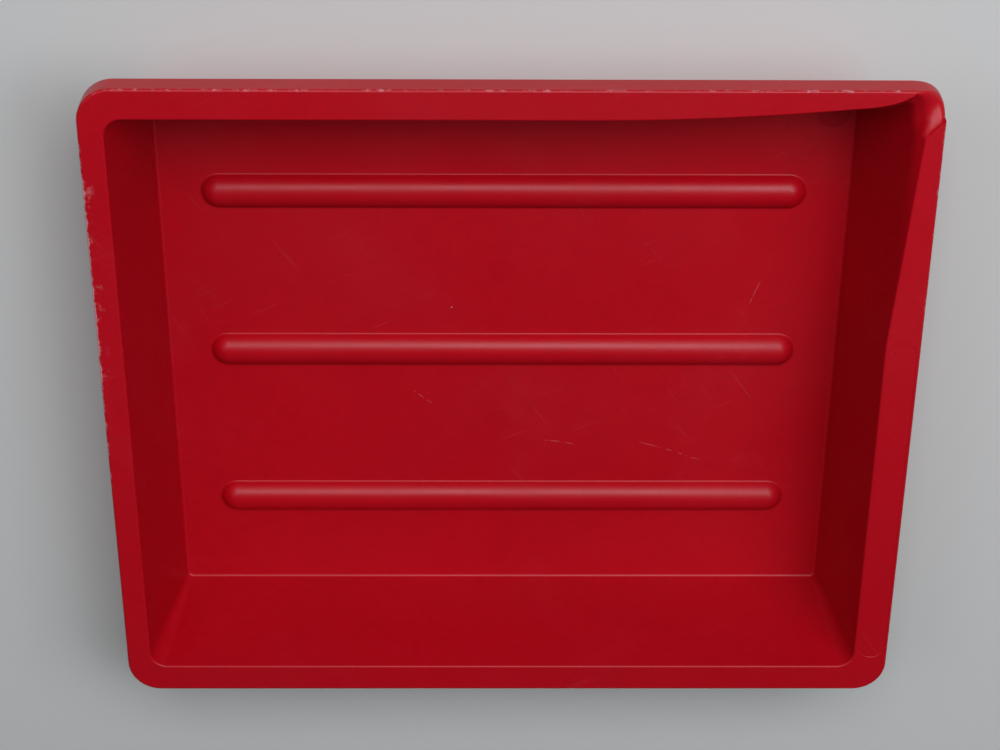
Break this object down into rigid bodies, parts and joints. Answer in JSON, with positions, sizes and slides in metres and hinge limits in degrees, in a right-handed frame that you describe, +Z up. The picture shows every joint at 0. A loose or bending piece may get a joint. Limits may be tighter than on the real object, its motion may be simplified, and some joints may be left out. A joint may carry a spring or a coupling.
{
  "type": "developing tray",
  "caption": "Open rectangular plastic tray with sloping walls, raised floor ribs, a turned-down rim and a pouring lip at one corner.",
  "frame": {"origin": "on the table under the middle of the rim, which is the middle of the box at its base", "axes": "+X to the right along the longer side, +Y to the back, +Z up; the pouring lip is at the back right corner (+X, +Y)"},
  "size_m": [0.307, 0.2564, 0.0564],
  "materials": {
    "red_plastic": "satin, lightly scuffed"
  },
  "bodies": {
    "root": {"floor_panel": "red_plastic", "rib_front": "red_plastic", "rib_middle": "red_plastic", "rib_back": "red_plastic", "wall_front": "red_plastic", "wall_right": "red_plastic", "wall_back": "red_plastic", "wall_left": "red_plastic", "rim_front": "red_plastic", "rim_right": "red_plastic", "rim_back": "red_plastic", "rim_left": "red_plastic", "skirt_front": "red_plastic", "skirt_right": "red_plastic", "skirt_back": "red_plastic", "skirt_left": "red_plastic", "corner_front_left": "red_plastic", "corner_front_right": "red_plastic", "corner_back_left": "red_plastic", "pouring_corner": "red_plastic"}
  },
  "joints": []
}
